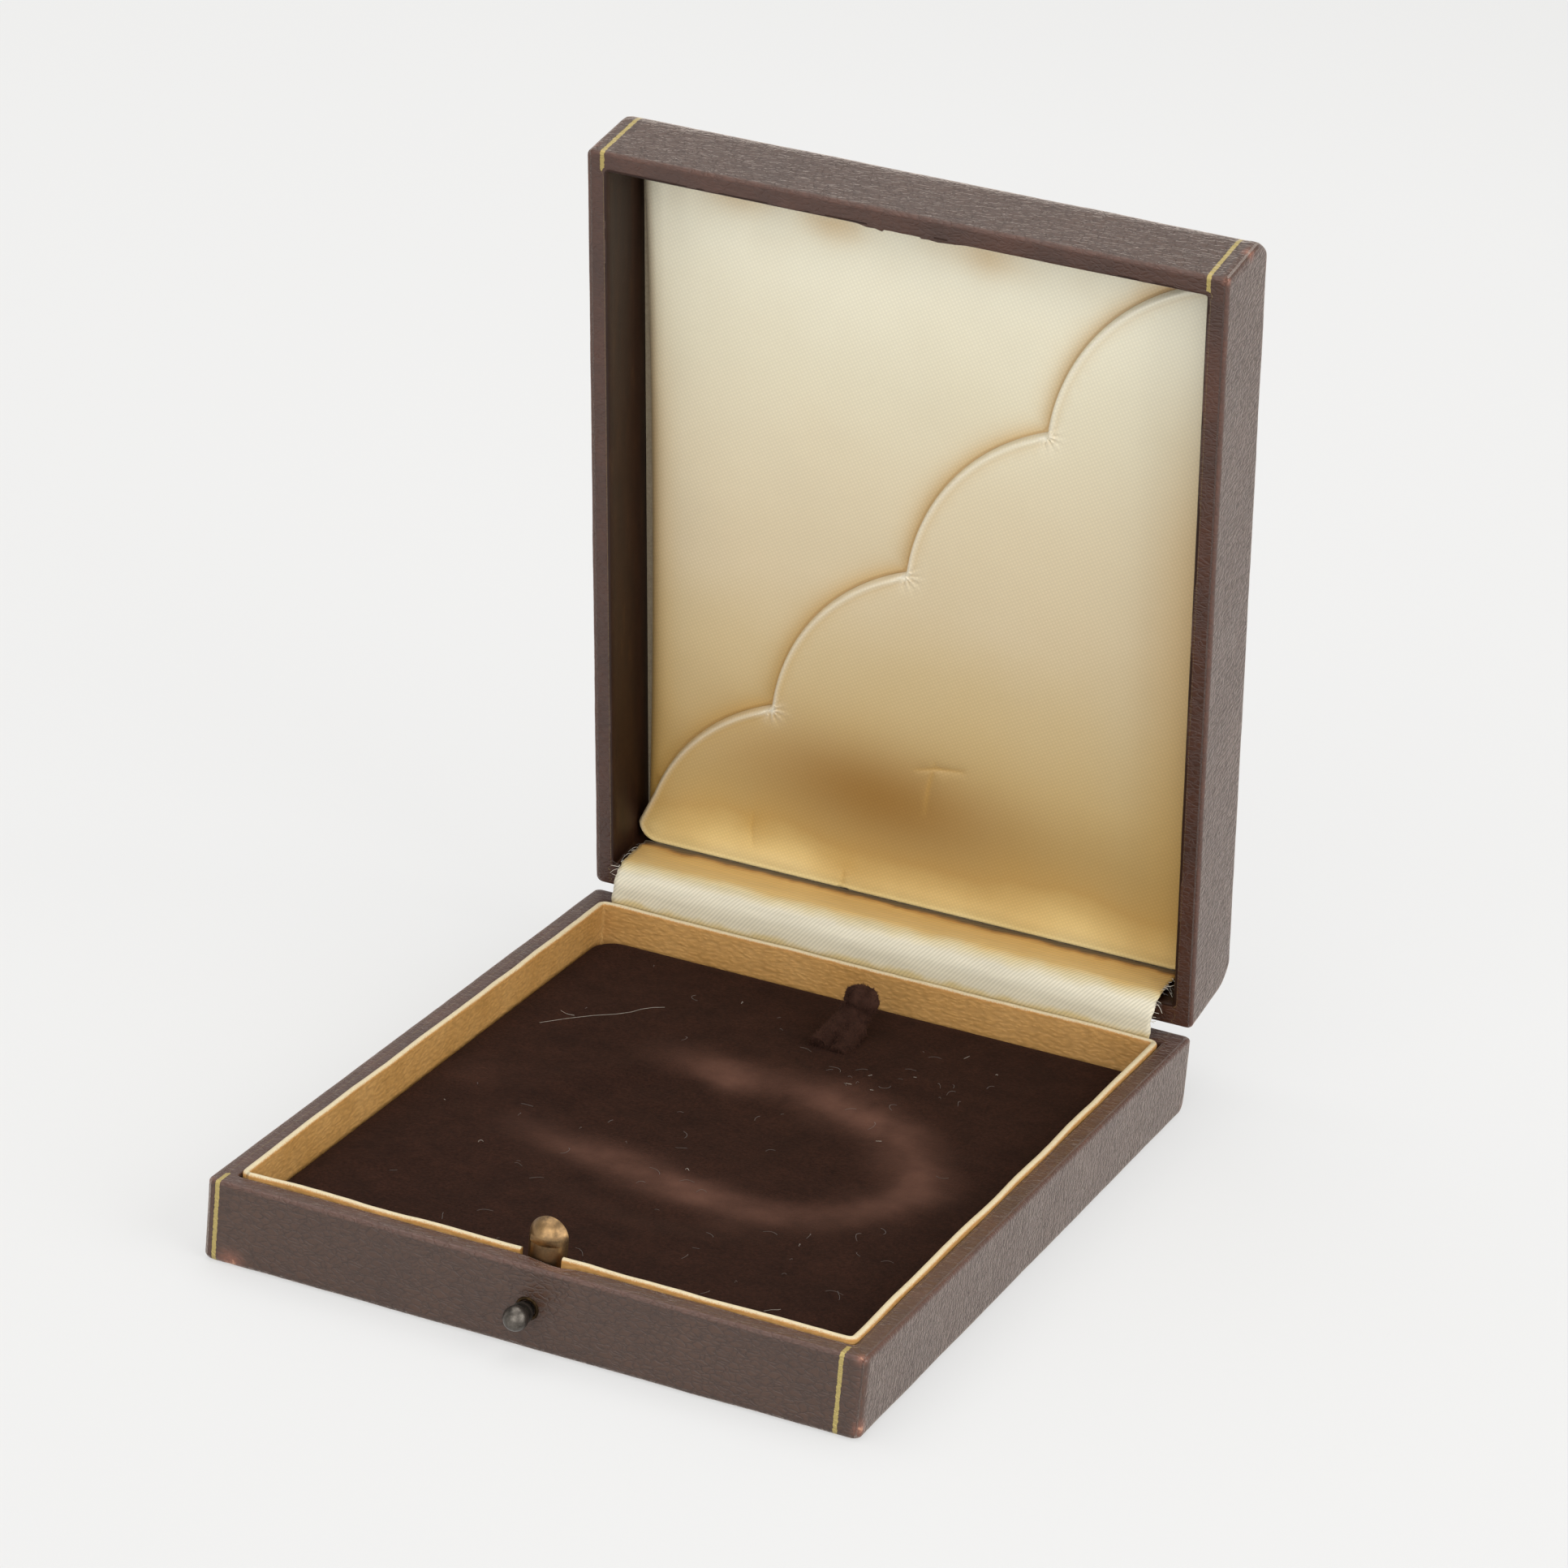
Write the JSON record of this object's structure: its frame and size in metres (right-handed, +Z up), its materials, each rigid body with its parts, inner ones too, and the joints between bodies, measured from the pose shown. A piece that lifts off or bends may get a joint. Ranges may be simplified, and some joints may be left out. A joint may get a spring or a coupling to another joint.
{
  "type": "pocket watch display box",
  "caption": "Hinged leatherette box with a velvet tray and a satin-lined lid for showing a pocket watch, opened by a push button at the front.",
  "frame": {"origin": "middle of the flat underside, on the surface that the box stands on", "axes": "+Z up, -Y towards the front with the push button, +X to the right as seen from the front; the lid is hinged along X at the back"},
  "size_m": [0.088, 0.1296, 0.1239],
  "materials": {
    "leatherette": "pebbled, worn at the edges",
    "bottom_sheet": "matt",
    "wood": "unfinished",
    "liner_paper": "embossed paper",
    "card": "matt",
    "velvet": "velvet pile",
    "satin": "satin weave",
    "ribbon_satin": "satin weave, frayed ends",
    "lining": "smooth, low gloss",
    "brass": "tarnished",
    "nickel": "dull nickel plate",
    "plated_steel": "plated",
    "steel": "drawn wire"
  },
  "bodies": {
    "base": {"base_frame": "wood", "base_board": "wood", "base_cover": "leatherette", "base_bottom_sheet": "bottom_sheet", "tray_liner": "liner_paper", "pad_board": "card", "velvet_pad": "velvet", "bow_post": "velvet", "bow_post_wire": "steel", "catch_body": "brass", "catch_pivot_pin": "steel", "catch_spring": "steel", "catch_nails": "steel", "button_bush": "brass", "hinge_leaf_base": "plated_steel", "hinge_pin": "steel", "hinge_nails_base": "steel", "hinge_ribbon": "ribbon_satin"},
    "lid": {"lid_frame": "wood", "lid_board": "wood", "lid_cover": "leatherette", "lid_lining": "lining", "satin_card": "card", "satin_pad": "satin", "scallop_card": "card", "scallop_panel": "satin", "keeper_plate": "brass", "keeper_nails": "steel", "hinge_leaf_lid": "plated_steel", "hinge_nails_lid": "steel"},
    "push_button": {"push_button": "nickel", "button_clip": "steel"},
    "catch_tongue": {"catch_tongue": "brass"}
  },
  "joints": [
    {"name": "lid_hinge", "type": "hinge", "parent": "base", "child": "lid", "pos_m": [0, 0.0561, 0.0121], "axis": [-1, 0, 0], "range_deg": [-78.5, 11.5], "deforming": ["hinge_ribbon"]},
    {"name": "button_press", "type": "slide", "parent": "base", "child": "push_button", "axis": [0, 1, 0], "range_m": [0, 0.0006], "stiffness_N_per_m": 300, "springref_m": -0.004},
    {"name": "tongue_tilt", "type": "hinge", "parent": "base", "child": "catch_tongue", "pos_m": [0, -0.0525, 0.002], "axis": [-1, 0, 0], "range_deg": [0, 10.5], "deforming": ["catch_spring"]}
  ],
  "couplings": [
    {"joint": "tongue_tilt", "follows": "button_press", "rad_per_m": 295}
  ]
}
